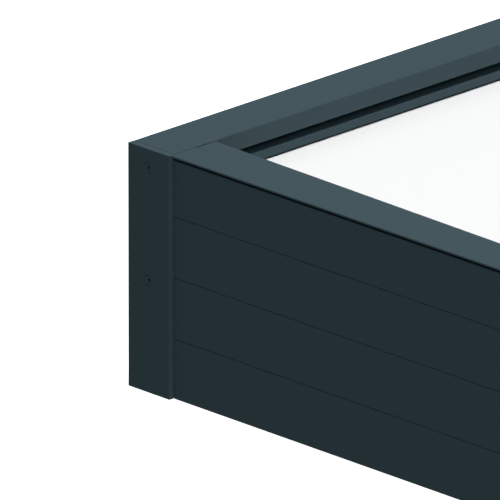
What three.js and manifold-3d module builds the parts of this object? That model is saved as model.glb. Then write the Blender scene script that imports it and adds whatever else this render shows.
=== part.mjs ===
// Flat pergola roof: a rectangular aluminium frame with a slightly falling, self-supporting panel roof set
// down inside it. Millimetres, +Z up. The origin is the centre of the frame at its flat underside. The front
// is -Y and the roof falls from the left side beam (-X) to the right one (+X).
import * as THREE from 'three';
import { mergeVertices } from 'three/addons/utils/BufferGeometryUtils.js';
import Module from 'manifold-3d';

const wasm = await Module();
wasm.setup();

// Whole frame
const frameLength = 3000;       // over the outer edges of the end plates, left to right
const frameDepth = 2500;        // over the faces of the end plates, front to back
const frameHeight = 260;
const fitGap = 0.3;             // between pieces that touch
const roofFall = 0.0108;        // drop of the roof for each unit of length

// Side beams: one hollow extrusion each, running the full depth between the end plates
const beamWidth = 57.7;
const beamWall = 3;
const flangeDepth = 18.8;       // plain inner face above the slot
const slotHeight = 8.7;         // open slot between that face and the roof rail's lip
const rebateDepth = 18;         // how far the rebate for the roof rail goes into the beam

// End plates and their countersunk screws
const plateMargin = 0.5;        // how far a plate stands past the beam's outer face
const plateLap = 0.8;           // and past its inner face
const plateThickness = 8;
const screwDepths = [20, 140];  // of the screws' axes below the top of the frame
const screwHeadRadius = 5.8;
const screwHeadHeight = 2.6;
const screwShankRadius = 3;
const screwLength = 30;
const socketAcrossFlats = 4;
const socketDepth = 1.8;
const screwPortWall = 2.5;      // metal of the beam's cross web above and below a screw port
const holeClearance = 0.3;      // round a screw's head and shank

// Boards on the front and rear beams
const boardCount = 4;
const boardSetback = 5.7;       // of the boards' faces behind the end plates' faces
const boardThickness = 18;
const boardWall = 2;
const boardChamfer = 0.5;
const boardGap = 0.5;
const jointDrop = 1;            // of the joints below an even division of the height
const boardEndGap = 1;          // between an end plate's edge and the boards' ends
const capGap = 5.8;             // from the top of the frame down to the first board

// Cap strip on the front and rear beams
const capSetback = 2.4;
const capThickness = 2;
const capWidth = 35.5;
const beamEndGap = 0.2;         // between an end plate's edge and the ends of the caps and core beams

// Core beams behind the boards
const coreWall = 3;

// Roof rails: the profiles that hold the panels' edges
const railWidth = 26;           // front and rear rails
const railTubeWall = 2;
const railWall = 3;             // web and lower flange
const lipHeight = 9.2;          // of the side rails' upstand
const lipThickness = 1.6;
const railEndGap = 2.2;         // between a side beam and the ends of the front and rear rails
const coreClearance = 1;        // between the lowest point of a falling rail and the core's step

// Roof panels
const panelCount = 3;
const panelThickness = 30;
const panelTopGap = 2.2;        // from a rail's lip down to the panel
const panelSideGap = 0.5;
const panelEndGap = 2;          // in the side rails' pockets
const panelJointGap = 0.6;

// Rubber seals in the gap between the rails and the panels
const sealInset = 0.8;          // of a seal's visible edge behind the rail's edge above it
const sealWidth = 8;

// Angles that tie the beams together in the inner corners
const cleatLeg = 50;
const cleatThickness = 5;
const cleatInset = 15;          // of its two ends from the frame's underside and from the core's step

const coated = new THREE.MeshStandardMaterial({ color: 0x3a4549, roughness: 0.55, metalness: 0.0 });
const roofWhite = new THREE.MeshStandardMaterial({ color: 0xf3f4f4, roughness: 0.45, metalness: 0.0 });
const screwSteel = new THREE.MeshStandardMaterial({ color: 0x2a3033, roughness: 0.4, metalness: 0.4 });
const sealRubber = new THREE.MeshStandardMaterial({ color: 0x141617, roughness: 0.85, metalness: 0.0 });

// Values that follow from the ones above
const halfLength = frameLength / 2;
const halfDepth = frameDepth / 2;
const sideInner = plateMargin + beamWidth;                    // inner face of a side beam, from the edge
const plateWidth = sideInner + plateLap;
const innerLength = frameLength - 2 * sideInner;
const fallAngle = Math.atan(roofFall);
const roofDrop = innerLength * roofFall;
const lipTop = flangeDepth + slotHeight;
const ledge = lipTop + lipHeight;                             // underside of the rails over the panels
const panelTop = ledge + panelTopGap;
const pocketFloor = panelTop + panelThickness + fitGap;
const railBottom = pocketFloor + railWall;
const rebateFloor = railBottom + fitGap;
const coreStart = plateWidth + beamEndGap;
const boardStart = plateWidth + boardEndGap;
const boardPitch = frameHeight / boardCount;
const boardBack = boardSetback + boardThickness;
const capInner = capSetback + capWidth;
const railOuter = capInner + fitGap;
const railInner = railOuter + railWidth;
const panelEdge = railOuter + railWall + panelSideGap;        // outer edges of the first and last panel
const coreStep = railBottom + roofDrop + coreClearance;
const cleatHeight = frameHeight - coreStep - 2 * cleatInset;

const model = new THREE.Group();
const roof = new THREE.Group();                               // everything that follows the fall
roof.position.set(-halfLength + sideInner, 0, frameHeight);
roof.rotation.y = fallAngle;
model.add(roof);

function add(name, geometry, material, parent = model) {
  const mesh = new THREE.Mesh(geometry, material);
  mesh.name = name;
  parent.add(mesh);
  return mesh;
}

// The outline runs counter-clockwise and its holes clockwise, whichever way their points are listed
function outline(points, holes = []) {
  const turned = (list, clockwise) => {
    const vectors = list.map(([a, b]) => new THREE.Vector2(a, b));
    return THREE.ShapeUtils.isClockWise(vectors) === clockwise ? vectors : vectors.reverse();
  };
  const shape = new THREE.Shape(turned(points, false));
  shape.holes = holes.map((hole) => new THREE.Path(turned(hole, true)));
  return shape;
}

function circle(x, y, radius, steps) {
  const points = [];
  for (let i = 0; i < steps; i += 1) {
    const angle = (2 * Math.PI * i) / steps;
    points.push([x + radius * Math.cos(angle), y + radius * Math.sin(angle)]);
  }
  return points;
}

// Section in (y, z), extruded along X from start to end
function alongX(shape, start, end) {
  const geometry = new THREE.ExtrudeGeometry(shape, { depth: end - start, bevelEnabled: false });
  const turn = new THREE.Matrix4().makeBasis(
    new THREE.Vector3(0, 1, 0), new THREE.Vector3(0, 0, 1), new THREE.Vector3(1, 0, 0));
  return geometry.applyMatrix4(turn).translate(start, 0, 0);
}

// Section in (x, z), extruded along Y from start to end
function alongY(shape, start, end) {
  const geometry = new THREE.ExtrudeGeometry(shape, { depth: end - start, bevelEnabled: false });
  const turn = new THREE.Matrix4().makeBasis(
    new THREE.Vector3(1, 0, 0), new THREE.Vector3(0, 0, 1), new THREE.Vector3(0, -1, 0));
  return geometry.applyMatrix4(turn).translate(0, end, 0);
}

function toSolid(geometry) {
  const bare = geometry.index ? geometry.toNonIndexed() : geometry.clone();
  bare.deleteAttribute('normal');
  bare.deleteAttribute('uv');
  const merged = mergeVertices(bare, 1e-4);
  return new wasm.Manifold(new wasm.Mesh({
    numProp: 3,
    vertProperties: new Float32Array(merged.attributes.position.array),
    triVerts: new Uint32Array(merged.index.array),
  }));
}

function toGeometry(solid) {
  const mesh = solid.getMesh();
  const geometry = new THREE.BufferGeometry();
  geometry.setAttribute('position', new THREE.BufferAttribute(new Float32Array(mesh.vertProperties), 3));
  geometry.setIndex(new THREE.BufferAttribute(new Uint32Array(mesh.triVerts), 1));
  geometry.computeVertexNormals();
  return geometry;
}

// A side beam's section, from its outer face inwards; drop lowers the rebate to where the roof is.
// Cross webs with a screw port each divide the hollow into three chambers.
function sideBeam(side, drop) {
  const place = (points) => points.map(([u, depth]) => [side * (halfLength - u), frameHeight - depth]);
  const recess = sideInner - rebateDepth;
  const ceiling = flangeDepth + drop;
  const shelf = rebateFloor + drop;
  const left = plateMargin + beamWall;
  const right = sideInner - beamWall;
  const narrow = recess - beamWall;
  const portRadius = screwShankRadius + holeClearance;
  const webHalf = portRadius + screwPortWall;
  const [upper, lower] = screwDepths;
  const shoulder = ceiling - beamWall;
  const middleTop = upper + webHalf;
  const middleStart = shoulder > middleTop
    ? [[left, middleTop], [right, middleTop], [right, shoulder], [narrow, shoulder]]
    : [[left, middleTop], [narrow, middleTop]];
  const topChamber = [
    [left, beamWall], [right, beamWall],
    [right, Math.min(upper - webHalf, shoulder)], [left, Math.min(upper - webHalf, shoulder)],
  ];
  const middleChamber = [
    ...middleStart,
    [narrow, shelf + beamWall], [right, shelf + beamWall], [right, lower - webHalf], [left, lower - webHalf],
  ];
  const bottomChamber = [
    [left, lower + webHalf], [right, lower + webHalf],
    [right, frameHeight - beamWall], [left, frameHeight - beamWall],
  ];
  const ports = screwDepths.map((depth) => circle(plateWidth / 2, depth, portRadius, 16));
  const section = outline(
    place([
      [plateMargin, 0], [sideInner, 0], [sideInner, ceiling], [recess, ceiling],
      [recess, shelf], [sideInner, shelf], [sideInner, frameHeight], [plateMargin, frameHeight],
    ]),
    [topChamber, middleChamber, bottomChamber, ...ports].map(place));
  const end = halfDepth - plateThickness - fitGap;
  return alongY(section, -end, end);
}

// A side rail sits in the beam's rebate. It has a pocket for the panels' ends, a ledge over them with an
// upstand lip at its edge, and a web at its back that also closes the back of the slot
function sideRail(side, drop) {
  const across = (u) => side * (halfLength - u);
  const inner = sideInner;
  const back = inner - rebateDepth + fitGap;
  const web = back + railWall;
  const points = [
    [inner, lipTop], [inner, ledge], [web, ledge], [web, pocketFloor], [inner, pocketFloor],
    [inner, railBottom], [back, railBottom], [back, flangeDepth + fitGap], [web, flangeDepth + fitGap],
    [web, ledge - railWall], [inner - lipThickness, ledge - railWall], [inner - lipThickness, lipTop],
  ].map(([u, depth]) => [across(u), frameHeight - depth - drop]);
  const end = halfDepth - plateThickness - fitGap;
  return alongY(outline(points), -end, end);
}

// A front or rear rail: a tube over the panels' edge and a pocket under it, in the falling roof's frame
function longRail(side) {
  const across = (u) => side * (halfDepth - u);
  const place = (points) => points.map(([u, depth]) => [across(u), -depth]);
  const section = outline(
    place([
      [railOuter, 0], [railInner, 0], [railInner, ledge], [railOuter + railWall, ledge],
      [railOuter + railWall, pocketFloor], [railInner, pocketFloor],
      [railInner, railBottom], [railOuter, railBottom],
    ]),
    [place([
      [railOuter + railTubeWall, railTubeWall], [railInner - railTubeWall, railTubeWall],
      [railInner - railTubeWall, ledge - railTubeWall], [railOuter + railTubeWall, ledge - railTubeWall],
    ])]);
  const length = innerLength / Math.cos(fallAngle);
  return alongX(section, railEndGap, length - railEndGap);
}

function board(side, index) {
  const across = (u) => side * (halfDepth - u);
  const joint = (count) => frameHeight - jointDrop - count * boardPitch;
  const top = index === 0 ? frameHeight - capGap : joint(index) - boardGap / 2;
  const bottom = index === boardCount - 1 ? 0 : joint(index + 1) + boardGap / 2;
  const face = across(boardSetback);
  const rounded = across(boardSetback + boardChamfer);
  const back = across(boardBack);
  const hollowFront = across(boardSetback + boardWall);
  const hollowBack = across(boardBack - boardWall);
  const section = outline(
    [
      [face, top - boardChamfer], [rounded, top], [back, top],
      [back, bottom], [rounded, bottom], [face, bottom + boardChamfer],
    ],
    [[
      [hollowFront, top - boardWall], [hollowBack, top - boardWall],
      [hollowBack, bottom + boardWall], [hollowFront, bottom + boardWall],
    ]]);
  return alongX(section, -halfLength + boardStart, halfLength - boardStart);
}

// A core beam is thin beside the rail and wide below it
function core(side) {
  const across = (u) => side * (halfDepth - u);
  const outer = boardBack + fitGap;
  const thin = railOuter - fitGap;
  const top = capThickness + fitGap;
  const place = (points) => points.map(([u, depth]) => [across(u), frameHeight - depth]);
  const section = outline(
    place([
      [outer, top], [thin, top], [thin, coreStep],
      [railInner, coreStep], [railInner, frameHeight], [outer, frameHeight],
    ]),
    [place([
      [outer + coreWall, top + coreWall], [thin - coreWall, top + coreWall],
      [thin - coreWall, coreStep + coreWall], [railInner - coreWall, coreStep + coreWall],
      [railInner - coreWall, frameHeight - coreWall], [outer + coreWall, frameHeight - coreWall],
    ])]);
  return alongX(section, -halfLength + coreStart, halfLength - coreStart);
}

function cap(side) {
  const across = (u) => side * (halfDepth - u);
  const section = outline([
    [across(capSetback), frameHeight], [across(capInner), frameHeight],
    [across(capInner), frameHeight - capThickness], [across(capSetback), frameHeight - capThickness],
  ]);
  return alongX(section, -halfLength + coreStart, halfLength - coreStart);
}

// Panels run with the fall, side by side from front to back, their ends in the side rails' pockets
function panel(index) {
  const first = -halfDepth + panelEdge;
  const width = -2 * first / panelCount;
  const start = first + index * width + (index === 0 ? 0 : panelJointGap / 2);
  const end = first + (index + 1) * width - (index === panelCount - 1 ? 0 : panelJointGap / 2);
  const bearing = rebateDepth - fitGap - railWall - panelEndGap;
  const length = innerLength / Math.cos(fallAngle);
  const underside = -panelTop - panelThickness;
  const section = outline([[start, -panelTop], [end, -panelTop], [end, underside], [start, underside]]);
  return alongX(section, -bearing, length + bearing);
}

// A seal's section, from its visible edge inwards under the rail
function sealPoints(edge) {
  const top = ledge + fitGap;
  const bottom = panelTop - fitGap;
  return [[edge, top], [edge - sealWidth, top], [edge - sealWidth, bottom], [edge, bottom]];
}

function sideSeal(side, drop) {
  const points = sealPoints(sideInner - sealInset)
    .map(([u, depth]) => [side * (halfLength - u), frameHeight - depth - drop]);
  return alongY(outline(points), -halfDepth + panelEdge, halfDepth - panelEdge);
}

function longSeal(side) {
  const points = sealPoints(railInner - sealInset).map(([u, depth]) => [side * (halfDepth - u), -depth]);
  return alongX(outline(points), railEndGap, innerLength / Math.cos(fallAngle) - railEndGap);
}

// A countersunk shape on +Y, its flat face at y = 0, grown by a clearance
function screwBody(clearance, length) {
  const head = screwHeadRadius + clearance;
  const shank = screwShankRadius + clearance;
  const profile = [[0, 0], [head, 0], [head, 0.4], [shank, screwHeadHeight], [shank, length], [0, length]];
  return new THREE.LatheGeometry(profile.map(([r, y]) => new THREE.Vector2(r, y)), 20);
}

function endPlate(side, end) {
  const x = side * (halfLength - plateWidth / 2);
  const y = end * (halfDepth - plateThickness / 2);
  let solid = toSolid(new THREE.BoxGeometry(plateWidth, plateThickness, frameHeight))
    .translate([x, y, frameHeight / 2]);
  for (const depth of screwDepths) {
    const hole = placeScrew(screwBody(holeClearance, plateThickness + 1), side, end, depth);
    solid = solid.subtract(toSolid(hole));
  }
  return toGeometry(solid);
}

function screw(side, end, depth) {
  const socket = new THREE.CylinderGeometry(
    socketAcrossFlats / Math.sqrt(3), socketAcrossFlats / Math.sqrt(3), 2 * socketDepth, 6);
  const solid = toSolid(screwBody(0, screwLength)).subtract(toSolid(socket));
  return placeScrew(toGeometry(solid), side, end, depth);
}

function placeScrew(geometry, side, end, depth) {
  if (end > 0) {
    geometry.rotateZ(Math.PI);
  }
  return geometry.translate(side * (halfLength - plateWidth / 2), end * halfDepth, frameHeight - depth);
}

// An equal angle standing in an inner corner, one leg on the side beam and one on the core
function cleat(side, end) {
  const x = (u) => side * (halfLength - sideInner - fitGap - u);
  const y = (v) => end * (halfDepth - railInner - fitGap - v);
  const shape = outline([
    [x(0), y(0)], [x(cleatLeg), y(0)], [x(cleatLeg), y(cleatThickness)],
    [x(cleatThickness), y(cleatThickness)], [x(cleatThickness), y(cleatLeg)], [x(0), y(cleatLeg)],
  ]);
  const geometry = new THREE.ExtrudeGeometry(shape, { depth: cleatHeight, bevelEnabled: false });
  return geometry.translate(0, 0, cleatInset);
}

const sides = [['left', -1, 0], ['right', 1, roofDrop]];
const ends = [['front', -1], ['rear', 1]];

for (const [sideName, side, drop] of sides) {
  add(`side_beam_${sideName}`, sideBeam(side, drop), coated);
  add(`roof_rail_${sideName}`, sideRail(side, drop), coated);
  add(`panel_seal_${sideName}`, sideSeal(side, drop), sealRubber);
}

for (const [endName, end] of ends) {
  add(`${endName}_core_beam`, core(end), coated);
  add(`${endName}_cap`, cap(end), coated);
  add(`roof_rail_${endName}`, longRail(end), coated, roof);
  add(`panel_seal_${endName}`, longSeal(end), sealRubber, roof);
  for (let i = 0; i < boardCount; i += 1) {
    add(`${endName}_board_${i + 1}`, board(end, i), coated);
  }
  for (const [sideName, side] of sides) {
    add(`end_plate_${endName}_${sideName}`, endPlate(side, end), coated);
    add(`corner_cleat_${endName}_${sideName}`, cleat(side, end), coated);
    screwDepths.forEach((depth, i) => {
      const level = i === 0 ? 'upper' : 'lower';
      add(`plate_screw_${endName}_${sideName}_${level}`, screw(side, end, depth), screwSteel);
    });
  }
}

for (let i = 0; i < panelCount; i += 1) {
  add(`roof_panel_${i + 1}`, panel(i), roofWhite, roof);
}

export default model;
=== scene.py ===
# Flat pergola roof: an anthracite aluminium frame round a sunk white panel roof.
# Every piece takes its place from the CAD frame. Metres, Z up, the front is -Y.
import math
import bmesh
import bpy
from mathutils import Matrix, Vector


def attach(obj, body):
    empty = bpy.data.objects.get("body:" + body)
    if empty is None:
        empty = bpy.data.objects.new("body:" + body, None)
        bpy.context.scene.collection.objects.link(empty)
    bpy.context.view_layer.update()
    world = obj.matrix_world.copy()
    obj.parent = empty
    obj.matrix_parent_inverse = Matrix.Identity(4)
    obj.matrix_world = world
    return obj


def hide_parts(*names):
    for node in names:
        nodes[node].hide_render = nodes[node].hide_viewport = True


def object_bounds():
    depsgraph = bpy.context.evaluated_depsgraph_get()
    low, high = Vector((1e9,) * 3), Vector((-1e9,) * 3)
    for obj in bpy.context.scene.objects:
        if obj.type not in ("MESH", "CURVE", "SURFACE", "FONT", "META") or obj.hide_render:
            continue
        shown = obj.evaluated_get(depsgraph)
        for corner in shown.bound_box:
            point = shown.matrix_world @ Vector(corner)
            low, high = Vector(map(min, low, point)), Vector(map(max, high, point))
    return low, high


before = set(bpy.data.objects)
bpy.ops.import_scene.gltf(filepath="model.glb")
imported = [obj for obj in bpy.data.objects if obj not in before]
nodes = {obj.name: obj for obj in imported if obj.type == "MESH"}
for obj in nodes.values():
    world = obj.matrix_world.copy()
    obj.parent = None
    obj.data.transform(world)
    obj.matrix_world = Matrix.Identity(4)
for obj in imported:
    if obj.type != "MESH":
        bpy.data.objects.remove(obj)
cadLow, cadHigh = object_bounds()
print("frame loaded:", len(nodes), "nodes")

mm = 0.001
xAxis = Vector((1, 0, 0))
yAxis = Vector((0, 1, 0))


def linear(hexColour):
    # an sRGB hex value as the linear colour a shader takes
    values = []
    for i in (1, 3, 5):
        share = int(hexColour[i:i + 2], 16) / 255
        values.append(share / 12.92 if share <= 0.04045 else ((share + 0.055) / 1.055) ** 2.4)
    return (*values, 1.0)


def addNode(tree, kind, settings=None, links=None):
    # settings fill the node's inputs, or its own properties where it has no such input
    node = tree.nodes.new(kind)
    for name, value in (settings or {}).items():
        if isinstance(name, int) or name in node.inputs:
            node.inputs[name].default_value = value
        else:
            setattr(node, name, value)
    for name, source in (links or {}).items():
        tree.links.new(source, node.inputs[name])
    return node


def startMaterial(name):
    material = bpy.data.materials.new(name)
    material.use_nodes = True
    material.node_tree.nodes.clear()
    return material, material.node_tree


# Materials

powderCoatLook = {
    "dark": "#35484f", "light": "#374a51",
    "cloud": 420 * mm,          # slow drift in film thickness along a profile
    "texture": 0.9 * mm,        # fine-texture grain is near 0.3 mm; drawn coarser so that it shows
    "textureDepth": 0.02 * mm,
    "peel": 7 * mm,             # long wave left as the powder flows out
    "peelDepth": 0.01 * mm,
    "roughness": (0.56, 0.64),
    "ior": 1.5, "specular": 0.18,
}


def makePowderCoat(look):
    # polyester powder coat, sprayed dry and baked on: an even satin skin with a fine, sand-like grain
    material, tree = startMaterial("satinPowderCoat")
    place = addNode(tree, "ShaderNodeTexCoord").outputs["Object"]
    cloud = addNode(
        tree, "ShaderNodeTexNoise", {"Scale": 1 / look["cloud"], "Detail": 2.0}, {"Vector": place})
    texture = addNode(
        tree, "ShaderNodeTexNoise", {"Scale": 1 / look["texture"], "Detail": 1.0}, {"Vector": place})
    peel = addNode(
        tree, "ShaderNodeTexNoise", {"Scale": 1 / look["peel"], "Detail": 1.0}, {"Vector": place})
    colour = addNode(tree, "ShaderNodeMix", {
        "data_type": "RGBA", 6: linear(look["dark"]), 7: linear(look["light"])}, {0: cloud.outputs["Fac"]})
    rough = addNode(tree, "ShaderNodeMapRange", {
        "To Min": look["roughness"][0], "To Max": look["roughness"][1]}, {"Value": texture.outputs["Fac"]})
    wave = addNode(tree, "ShaderNodeBump", {
        "Strength": 1.0, "Distance": look["peelDepth"]}, {"Height": peel.outputs["Fac"]})
    grain = addNode(tree, "ShaderNodeBump", {
        "Strength": 1.0, "Distance": look["textureDepth"]},
        {"Height": texture.outputs["Fac"], "Normal": wave.outputs["Normal"]})
    shader = addNode(tree, "ShaderNodeBsdfPrincipled", {
        "IOR": look["ior"], "Specular IOR Level": look["specular"]},
        {"Base Color": colour.outputs[2], "Roughness": rough.outputs["Result"],
         "Normal": grain.outputs["Normal"]})
    addNode(tree, "ShaderNodeOutputMaterial", None, {"Surface": shader.outputs["BSDF"]})
    return material


panelCoatLook = {
    "dark": "#f0f1f1", "light": "#f3f4f4",
    "cloud": 600 * mm,
    "peel": 5 * mm,             # faint roller pattern of the coil coating line
    "peelDepth": 0.012 * mm,
    "roughness": (0.40, 0.46),
    "ior": 1.5, "specular": 0.35,
}


def makePanelCoat(look):
    # white coil coating, rolled on flat sheet before it is formed: smooth, bright and a little glossier
    material, tree = startMaterial("whiteCoilCoating")
    place = addNode(tree, "ShaderNodeTexCoord").outputs["Object"]
    cloud = addNode(
        tree, "ShaderNodeTexNoise", {"Scale": 1 / look["cloud"], "Detail": 1.0}, {"Vector": place})
    peel = addNode(
        tree, "ShaderNodeTexNoise", {"Scale": 1 / look["peel"], "Detail": 1.0}, {"Vector": place})
    colour = addNode(tree, "ShaderNodeMix", {
        "data_type": "RGBA", 6: linear(look["dark"]), 7: linear(look["light"])}, {0: cloud.outputs["Fac"]})
    rough = addNode(tree, "ShaderNodeMapRange", {
        "To Min": look["roughness"][0], "To Max": look["roughness"][1]}, {"Value": peel.outputs["Fac"]})
    wave = addNode(tree, "ShaderNodeBump", {
        "Strength": 1.0, "Distance": look["peelDepth"]}, {"Height": peel.outputs["Fac"]})
    shader = addNode(tree, "ShaderNodeBsdfPrincipled", {
        "IOR": look["ior"], "Specular IOR Level": look["specular"]},
        {"Base Color": colour.outputs[2], "Roughness": rough.outputs["Result"],
         "Normal": wave.outputs["Normal"]})
    addNode(tree, "ShaderNodeOutputMaterial", None, {"Surface": shader.outputs["BSDF"]})
    return material


screwCoatLook = {
    "dark": "#30444b", "light": "#35494f",
    "flake": 0.6 * mm,          # zinc flakes are under 0.05 mm; drawn coarser so that they show
    "flakeDepth": 0.01 * mm,
    "roughness": (0.48, 0.58),
    "ior": 1.5, "specular": 0.22,
}


def makeScrewCoat(look):
    # zinc-flake coat in the frame's colour on a steel screw: thin, and slightly glossier than powder coat
    material, tree = startMaterial("tintedZincFlake")
    place = addNode(tree, "ShaderNodeTexCoord").outputs["Object"]
    flake = addNode(tree, "ShaderNodeTexVoronoi", {"Scale": 1 / look["flake"]}, {"Vector": place})
    colour = addNode(tree, "ShaderNodeMix", {
        "data_type": "RGBA", 6: linear(look["dark"]), 7: linear(look["light"])},
        {0: flake.outputs["Distance"]})
    rough = addNode(tree, "ShaderNodeMapRange", {
        "To Min": look["roughness"][0], "To Max": look["roughness"][1]},
        {"Value": flake.outputs["Distance"]})
    dents = addNode(tree, "ShaderNodeBump", {
        "Strength": 1.0, "Distance": look["flakeDepth"]}, {"Height": flake.outputs["Distance"]})
    shader = addNode(tree, "ShaderNodeBsdfPrincipled", {
        "IOR": look["ior"], "Specular IOR Level": look["specular"]},
        {"Base Color": colour.outputs[2], "Roughness": rough.outputs["Result"],
         "Normal": dents.outputs["Normal"]})
    addNode(tree, "ShaderNodeOutputMaterial", None, {"Surface": shader.outputs["BSDF"]})
    return material


# black rubber for the seals; besides the rubber's own black, it is painted shade for the gap between the
# rails' lips and the panels
rubberSealPaintedGapShadeLook = {
    "dark": "#0d0e0f", "light": "#16181a",
    "skin": 1.5 * mm,
    "skinDepth": 0.03 * mm,
    "roughness": (0.72, 0.86),
    "ior": 1.5, "specular": 0.25,
}


def makeRubberSealPaintedGapShade(look):
    # extruded EPDM rubber: matt black with a dull, slightly uneven skin. Its black also stands in for the
    # shade in the gap between the rails' lips and the panels, as painted shade
    material, tree = startMaterial("extrudedEpdmPaintedGapShade")
    place = addNode(tree, "ShaderNodeTexCoord").outputs["Object"]
    skin = addNode(
        tree, "ShaderNodeTexNoise", {"Scale": 1 / look["skin"], "Detail": 2.0}, {"Vector": place})
    colour = addNode(tree, "ShaderNodeMix", {
        "data_type": "RGBA", 6: linear(look["dark"]), 7: linear(look["light"])}, {0: skin.outputs["Fac"]})
    rough = addNode(tree, "ShaderNodeMapRange", {
        "To Min": look["roughness"][0], "To Max": look["roughness"][1]}, {"Value": skin.outputs["Fac"]})
    dents = addNode(tree, "ShaderNodeBump", {
        "Strength": 1.0, "Distance": look["skinDepth"]}, {"Height": skin.outputs["Fac"]})
    shader = addNode(tree, "ShaderNodeBsdfPrincipled", {
        "IOR": look["ior"], "Specular IOR Level": look["specular"]},
        {"Base Color": colour.outputs[2], "Roughness": rough.outputs["Result"],
         "Normal": dents.outputs["Normal"]})
    addNode(tree, "ShaderNodeOutputMaterial", None, {"Surface": shader.outputs["BSDF"]})
    return material


powderCoat = makePowderCoat(powderCoatLook)
panelCoat = makePanelCoat(panelCoatLook)
screwCoat = makeScrewCoat(screwCoatLook)
rubberSealPaintedGapShade = makeRubberSealPaintedGapShade(rubberSealPaintedGapShadeLook)
print("materials made")


# Mesh tools

meshCare = {
    "mergeDistance": 0.005 * mm,
    "flatAngle": math.radians(0.3),     # faces closer than this are one flat face
    "edgeAngle": math.radians(20),      # sharper edges than this are rounded
    "sharpAngle": math.radians(50),     # sharper edges than this are shaded as sharp
    "alongAxis": 0.999,                 # cosine past which an edge runs along an axis
    "reachedEdge": 0.999,               # share of a half width past which a point is on the edge
    "onFace": 0.001 * mm,
}


def boxOf(nodeName):
    points = [vertex.co for vertex in nodes[nodeName].data.vertices]
    low = Vector([min(point[axis] for point in points) for axis in range(3)])
    high = Vector([max(point[axis] for point in points) for axis in range(3)])
    return low, high


def copyOf(nodeName):
    # a CAD node's mesh with its loose triangles joined into whole faces
    bm = bmesh.new()
    bm.from_mesh(nodes[nodeName].data)
    bmesh.ops.remove_doubles(bm, verts=bm.verts, dist=meshCare["mergeDistance"])
    bmesh.ops.dissolve_limit(bm, angle_limit=meshCare["flatAngle"], verts=bm.verts, edges=bm.edges)
    return bm


def roundEdges(bm, radius, segments, along=None, test=None):
    # rounds the outward edges, or only those that run along one axis or pass a test
    chosen = []
    for edge in bm.edges:
        if len(edge.link_faces) != 2 or not edge.is_convex:
            continue
        if edge.calc_face_angle() < meshCare["edgeAngle"]:
            continue
        direction = (edge.verts[1].co - edge.verts[0].co).normalized()
        if along is not None and abs(direction.dot(along)) < meshCare["alongAxis"]:
            continue
        if test is None or test(edge):
            chosen.append(edge)
    bmesh.ops.bevel(
        bm, geom=chosen, offset=radius, offset_type="OFFSET", segments=segments, profile=0.5,
        affect="EDGES", clamp_overlap=True, material=-1)


def finishPiece(bm, name, material, replaced=()):
    mesh = bpy.data.meshes.new(name)
    bm.to_mesh(mesh)
    bm.free()
    mesh.materials.append(material)
    mesh.polygons.foreach_set("use_smooth", [True] * len(mesh.polygons))
    mesh.set_sharp_from_angle(angle=meshCare["sharpAngle"])
    piece = bpy.data.objects.new(name, mesh)
    bpy.context.scene.collection.objects.link(piece)
    weighted = piece.modifiers.new("weightedNormals", "WEIGHTED_NORMAL")
    weighted.keep_sharp = True
    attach(piece, "root")
    if replaced:
        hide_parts(*replaced)


def roundedNode(nodeName, material, settings, along=None):
    # a copy of a CAD node with rounded edges and, where its settings give a reach, longer ends along x
    bm = copyOf(nodeName)
    if "reach" in settings:
        low, high = boxOf(nodeName)
        bmesh.ops.scale(bm, verts=bm.verts, vec=(1 + 2 * settings["reach"] / (high.x - low.x), 1, 1))
    roundEdges(bm, settings["radius"], settings["segments"], along)
    finishPiece(bm, "rounded_" + nodeName, material, [nodeName])


# Side beams: extruded, so only the edges that run with the beam are rounded
sideBeams = {"radius": 0.5 * mm, "segments": 3}
for side in ("left", "right"):
    roundedNode("side_beam_" + side, powderCoat, sideBeams, yAxis)
print("side beams made")

# Rails that hold the roof
roofRails = {"radius": 0.4 * mm, "segments": 3}
for side in ("left", "right"):
    roundedNode("roof_rail_" + side, powderCoat, roofRails, yAxis)
for end in ("front", "rear"):
    roundedNode("roof_rail_" + end, powderCoat, roofRails, xAxis)
print("roof rails made")

# Front and rear beams: boards, caps and the core behind them
boards = {"radius": 0.25 * mm, "segments": 2}
caps = {"radius": 0.35 * mm, "segments": 3}
cores = {
    "radius": 0.5 * mm, "segments": 2,
    "reach": 0.7 * mm,          # grown at each end, so that no light shows between the beams at a corner
}
for nodeName in sorted(nodes):
    if "_board_" in nodeName:
        roundedNode(nodeName, powderCoat, boards, xAxis)
for end in ("front", "rear"):
    roundedNode(end + "_cap", powderCoat, caps, xAxis)
    roundedNode(end + "_core_beam", powderCoat, cores, xAxis)
print("front and rear beams made")

# Roof panels: folded sheet edges
panels = {"radius": 1.0 * mm, "segments": 3}
for nodeName in sorted(nodes):
    if nodeName.startswith("roof_panel_"):
        roundedNode(nodeName, panelCoat, panels, xAxis)
print("roof panels made")

# Seals between the rails and the panels: black rubber, whose black also stands in for the shade in that
# gap, as painted shade
seals = {"radius": 0.4 * mm, "segments": 3}
for side, along in (("left", yAxis), ("right", yAxis), ("front", xAxis), ("rear", xAxis)):
    roundedNode("panel_seal_" + side, rubberSealPaintedGapShade, seals, along)
print("seals made")

# Corner cleats
cleats = {"radius": 0.6 * mm, "segments": 3}
for end in ("front", "rear"):
    for side in ("left", "right"):
        roundedNode("corner_cleat_" + end + "_" + side, powderCoat, cleats)
print("corner cleats made")

# Pieces with round holes and hexagon sockets. Each is built looking along +Y, its outer face at y = 0
roundShapes = {"segments": 48}          # round a whole circle


def circleLoop(bm, radius, y, z=0.0):
    place = Matrix.Translation((0, y, z)) @ Matrix.Rotation(math.radians(90), 4, "X")
    made = bmesh.ops.create_circle(
        bm, cap_ends=False, segments=roundShapes["segments"], radius=radius, matrix=place)
    return list({edge for vertex in made["verts"] for edge in vertex.link_edges})


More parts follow.
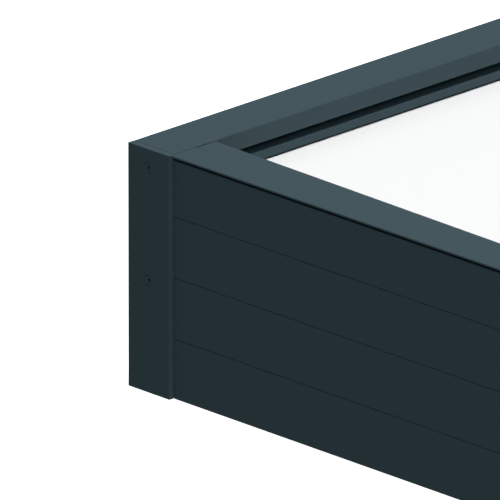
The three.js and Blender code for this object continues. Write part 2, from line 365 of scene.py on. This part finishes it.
def extrudeLoop(bm, edges, move):
    # carries an open loop on to a new one, whose vertices are placed by move
    made = bmesh.ops.extrude_edge_only(bm, edges=edges)["geom"]
    points = {item for item in made if isinstance(item, bmesh.types.BMVert)}
    for point in points:
        point.co = move(point.co.copy())
    return [item for item in made if isinstance(item, bmesh.types.BMEdge) and set(item.verts) <= points]


def onCircle(radius, y, z=0.0):
    def move(point):
        angle = math.atan2(point.z - z, point.x)
        return Vector((radius * math.cos(angle), y, z + radius * math.sin(angle)))
    return move


def onHexagon(acrossFlats, y):
    def move(point):
        angle = math.atan2(point.z, point.x)
        fromFlat = (angle % math.radians(60)) - math.radians(30)
        radius = acrossFlats / 2 / math.cos(fromFlat)
        return Vector((radius * math.cos(angle), y, radius * math.sin(angle)))
    return move


def placeAt(bm, spot, turn):
    bmesh.ops.transform(
        bm, verts=bm.verts, matrix=Matrix.Translation(spot) @ Matrix.Rotation(turn, 4, "Z"))


# End plates: flat bar with two countersunk holes, its outer edges rounded and its back left sharp
endPlates = {
    "edgeRadius": 0.5 * mm, "edgeSegments": 3,
    "border": 3 * mm,           # plain band round the face, outside the holes' triangles
    "seat": 0.28 * mm,          # grown at the back, so that no gap shows where it meets the beam
    "headRadius": 6.1 * mm, "shankRadius": 3.3 * mm,
    "landDepth": 0.6 * mm,      # straight part of the hole above the countersink
    "sinkDepth": 2.9 * mm,
}


def makeEndPlate(end, side, settings):
    nodeName = "end_plate_" + end + "_" + side
    low, high = boxOf(nodeName)
    middle = (low + high) / 2
    depth = high.y - low.y + settings["seat"]
    bm = bmesh.new()
    bmesh.ops.create_grid(
        bm, x_segments=1, y_segments=1, size=0.5, matrix=Matrix.Rotation(math.radians(90), 4, "X"))
    bmesh.ops.scale(bm, verts=bm.verts, vec=(high.x - low.x, 1, high.z - low.z))
    bmesh.ops.inset_individual(bm, faces=bm.faces[:], thickness=settings["border"])
    outer = [edge for edge in bm.edges if len(edge.link_faces) == 1]
    inner = min(bm.faces, key=lambda face: face.calc_center_median().length)
    rim = list(inner.edges)
    bmesh.ops.delete(bm, geom=[inner], context="FACES_ONLY")
    holes = []
    for level in ("upper", "lower"):
        screwLow, screwHigh = boxOf("plate_screw_" + end + "_" + side + "_" + level)
        height = (screwLow.z + screwHigh.z) / 2 - middle.z
        holes.append((height, circleLoop(bm, settings["headRadius"], 0, height)))
    bmesh.ops.triangle_fill(
        bm, use_beauty=True, edges=rim + [edge for hole in holes for edge in hole[1]], normal=(0, -1, 0))
    back = []
    for height, edges in holes:
        edges = extrudeLoop(bm, edges, onCircle(settings["headRadius"], settings["landDepth"], height))
        edges = extrudeLoop(bm, edges, onCircle(settings["shankRadius"], settings["sinkDepth"], height))
        back += extrudeLoop(bm, edges, onCircle(settings["shankRadius"], depth, height))
    back += extrudeLoop(bm, outer, lambda point: Vector((point.x, depth, point.z)))
    bmesh.ops.triangle_fill(bm, use_beauty=True, edges=back, normal=(0, 1, 0))
    bmesh.ops.recalc_face_normals(bm, faces=bm.faces)
    edgeX = (high.x - low.x) / 2 * meshCare["reachedEdge"]
    edgeZ = (high.z - low.z) / 2 * meshCare["reachedEdge"]

    def isOuter(edge):
        a, b = edge.verts[0].co, edge.verts[1].co
        onFace = max(a.y, b.y) < meshCare["onFace"]
        onSide = min(abs(a.x), abs(b.x)) > edgeX
        onEnd = min(abs(a.z), abs(b.z)) > edgeZ
        return (onSide and onEnd) or (onFace and (onSide or onEnd))

    roundEdges(bm, settings["edgeRadius"], settings["edgeSegments"], None, isOuter)
    if end == "front":
        placeAt(bm, (middle.x, low.y, middle.z), 0)
    else:
        placeAt(bm, (middle.x, high.y, middle.z), math.radians(180))
    finishPiece(bm, "plate_" + end + "_" + side, powderCoat, [nodeName])


for end in ("front", "rear"):
    for side in ("left", "right"):
        makeEndPlate(end, side, endPlates)
print("end plates made")


def turnedHead(bm, start, outside, acrossFlats, socket, socketTip):
    # turned outside, then a hexagon socket with a bevelled mouth and a drilled floor
    first = circleLoop(bm, start[0], start[1])
    edges = first
    for radius, y in outside:
        edges = extrudeLoop(bm, edges, onCircle(radius, y))
    bmesh.ops.edgeloop_fill(bm, edges=edges)
    mouth, mouthY, hexagonY, floorY = socket
    edges = extrudeLoop(bm, first, onCircle(mouth, mouthY))
    edges = extrudeLoop(bm, edges, onHexagon(acrossFlats, hexagonY))
    edges = extrudeLoop(bm, edges, onHexagon(acrossFlats, floorY))
    floor = bmesh.ops.edgeloop_fill(bm, edges=edges)["faces"]
    tip = bmesh.ops.poke(bm, faces=floor)["verts"]
    bmesh.ops.translate(bm, verts=tip, vec=(0, socketTip, 0))


# Countersunk screws in the end plates: M6, with a 4 mm hexagon socket. An outline is pairs of radius and
# depth; a socket is its mouth's radius, then the depths of its mouth, its hexagon's top and its floor
plateScrews = {
    "face": (5.35 * mm, 0.0),
    "outside": ((5.65 * mm, 0.15 * mm), (5.7 * mm, 0.45 * mm), (3.0 * mm, 2.6 * mm),
                (3.0 * mm, 29.5 * mm), (2.5 * mm, 30 * mm)),
    "acrossFlats": 4 * mm,
    "socket": (2.6 * mm, 0.0, 0.25 * mm, 4.2 * mm),
    "socketTip": 0.6 * mm,
}
for nodeName in sorted(nodes):
    if nodeName.startswith("plate_screw_"):
        low, high = boxOf(nodeName)
        bm = bmesh.new()
        turnedHead(bm, plateScrews["face"], plateScrews["outside"], plateScrews["acrossFlats"],
                   plateScrews["socket"], plateScrews["socketTip"])
        bmesh.ops.recalc_face_normals(bm, faces=bm.faces)
        atFront = "_front_" in nodeName
        placeAt(bm, ((low.x + high.x) / 2, low.y if atFront else high.y, (low.z + high.z) / 2),
                0 if atFront else math.radians(180))
        finishPiece(bm, "turned_" + nodeName, screwCoat, [nodeName])
print("plate screws made")

# Button-head M8 bolts on washers, two in each leg of each corner cleat
cleatBolts = {
    "face": (3.9 * mm, -6.0 * mm),
    "outside": ((5.6 * mm, -5.4 * mm), (6.7 * mm, -4.1 * mm), (7.0 * mm, -2.6 * mm),
                (7.0 * mm, -1.7 * mm), (7.9 * mm, -1.6 * mm), (8.2 * mm, -1.3 * mm), (8.2 * mm, 0.0)),
    "acrossFlats": 5 * mm,
    "socket": (3.1 * mm, -6.0 * mm, -5.75 * mm, -3.4 * mm),
    "socketTip": 0.6 * mm,
    "legThickness": 5 * mm,     # of the cleat, whose inner face the bolts sit on
    "alongLeg": 30 * mm,        # from the corner
    "fromEnd": 32 * mm,         # from the cleat's upper and lower ends
}
for end in ("front", "rear"):
    for side in ("left", "right"):
        low, high = boxOf("corner_cleat_" + end + "_" + side)
        inX = 1 if side == "left" else -1
        inY = 1 if end == "front" else -1
        cornerX = low.x if side == "left" else high.x
        cornerY = low.y if end == "front" else high.y
        onBeam = (cornerX + inX * cleatBolts["legThickness"], cornerY + inY * cleatBolts["alongLeg"])
        onCore = (cornerX + inX * cleatBolts["alongLeg"], cornerY + inY * cleatBolts["legThickness"])
        whole = bmesh.new()
        for height in (low.z + cleatBolts["fromEnd"], high.z - cleatBolts["fromEnd"]):
            for spot, turn in ((onBeam, 90 * inX), (onCore, 180 if end == "front" else 0)):
                bm = bmesh.new()
                turnedHead(bm, cleatBolts["face"], cleatBolts["outside"], cleatBolts["acrossFlats"],
                           cleatBolts["socket"], cleatBolts["socketTip"])
                bmesh.ops.recalc_face_normals(bm, faces=bm.faces)
                placeAt(bm, (*spot, height), math.radians(turn))
                mesh = bpy.data.meshes.new("oneBolt")
                bm.to_mesh(mesh)
                bm.free()
                whole.from_mesh(mesh)
                bpy.data.meshes.remove(mesh)
        finishPiece(whole, "cleat_bolts_" + end + "_" + side, screwCoat)
print("cleat bolts made")

# Studio: a pale floor, a dim even surround and soft lights; the last one is the floor's bounce
studio = {
    "floorRadius": 90.0, "floorSegments": 96,
    "floorDrop": 0.5 * mm,
    "floorColour": "#f4f4f4",
    "floorGlow": 1.0,
    "surroundColour": "#ffffff",
    "surround": 0.135,
    "backdrop": 1.0,            # the surround as the camera sees it
    "suns": {                   # strength, softness in degrees, and where each comes from
        "softKey": (2.36, 12.0, (0.06, 0.11, 1.0)),
        "softFill": (1.23, 20.0, (0.66, -0.51, 0.58)),
        "softBack": (0.30, 25.0, (-0.35, 0.62, 0.70)),
        "floorBounce": (1.16, 60.0, (0.51, -0.06, -0.86)),
    },
}


def makeFloor(settings):
    bm = bmesh.new()
    bmesh.ops.create_circle(
        bm, cap_ends=True, segments=settings["floorSegments"], radius=settings["floorRadius"])
    bmesh.ops.translate(bm, verts=bm.verts, vec=(0, 0, cadLow.z - settings["floorDrop"]))
    mesh = bpy.data.meshes.new("studioFloor")
    bm.to_mesh(mesh)
    bm.free()
    floor = bpy.data.objects.new("studioFloor", mesh)
    bpy.context.scene.collection.objects.link(floor)
    material, tree = startMaterial("paleFloor")
    glow = addNode(tree, "ShaderNodeEmission", {
        "Color": linear(settings["floorColour"]), "Strength": settings["floorGlow"]})
    matt = addNode(tree, "ShaderNodeBsdfDiffuse", {"Color": linear(settings["floorColour"])})
    both = addNode(tree, "ShaderNodeAddShader", None, {0: glow.outputs[0], 1: matt.outputs[0]})
    # seen from below it is clear, so that the underside of the frame shows
    clear = addNode(tree, "ShaderNodeBsdfTransparent")
    facing = addNode(tree, "ShaderNodeNewGeometry").outputs["Backfacing"]
    mixed = addNode(
        tree, "ShaderNodeMixShader", None, {0: facing, 1: both.outputs[0], 2: clear.outputs[0]})
    addNode(tree, "ShaderNodeOutputMaterial", None, {"Surface": mixed.outputs[0]})
    mesh.materials.append(material)
    floor.visible_diffuse = False
    floor.visible_glossy = False
    floor.visible_shadow = False


def makeLight(settings):
    scene = bpy.context.scene
    world = bpy.data.worlds.new("paleSurround")
    world.use_nodes = True
    tree = world.node_tree
    tree.nodes.clear()
    seen = addNode(tree, "ShaderNodeLightPath").outputs["Is Camera Ray"]
    white = linear(settings["surroundColour"])
    light = addNode(tree, "ShaderNodeBackground", {"Color": white, "Strength": settings["surround"]})
    backdrop = addNode(tree, "ShaderNodeBackground", {"Color": white, "Strength": settings["backdrop"]})
    mixed = addNode(
        tree, "ShaderNodeMixShader", None, {0: seen, 1: light.outputs[0], 2: backdrop.outputs[0]})
    addNode(tree, "ShaderNodeOutputWorld", None, {"Surface": mixed.outputs[0]})
    scene.world = world
    for name, (strength, softness, source) in settings["suns"].items():
        sun = bpy.data.objects.new(name, bpy.data.lights.new(name, "SUN"))
        sun.data.energy = strength
        sun.data.angle = math.radians(softness)
        sun.rotation_euler = Vector(source).to_track_quat("Z", "Y").to_euler()
        scene.collection.objects.link(sun)
    scene.view_settings.view_transform = "Standard"


makeFloor(studio)
makeLight(studio)
print("studio made")

# Camera: a long lens, so that parallel edges stay parallel, on the front left corner of the frame
cameraView = {
    "azimuth": 45.33, "elevation": 20.125,      # degrees round from the front, and above the horizon
    "lens": 1720.0, "sensor": 36.0,
    "distance": 23.905,
    "clip": (0.1, 300.0),
    "aim": (0.1127, 0.0605, -0.1013),           # middle of the view, from the frame's top front left corner
}


def makeCamera(settings):
    data = bpy.data.cameras.new("longLens")
    data.lens = settings["lens"]
    data.sensor_width = settings["sensor"]
    data.clip_start, data.clip_end = settings["clip"]
    camera = bpy.data.objects.new("longLens", data)
    bpy.context.scene.collection.objects.link(camera)
    turn, rise = math.radians(settings["azimuth"]), math.radians(settings["elevation"])
    back = Vector((
        math.sin(turn) * math.cos(rise), -math.cos(turn) * math.cos(rise), math.sin(rise)))
    aim = Vector((cadLow.x, cadLow.y, cadHigh.z)) + Vector(settings["aim"])
    camera.location = aim + back * settings["distance"]
    camera.rotation_euler = back.to_track_quat("Z", "Y").to_euler()
    bpy.context.scene.camera = camera


makeCamera(cameraView)
print("camera made")
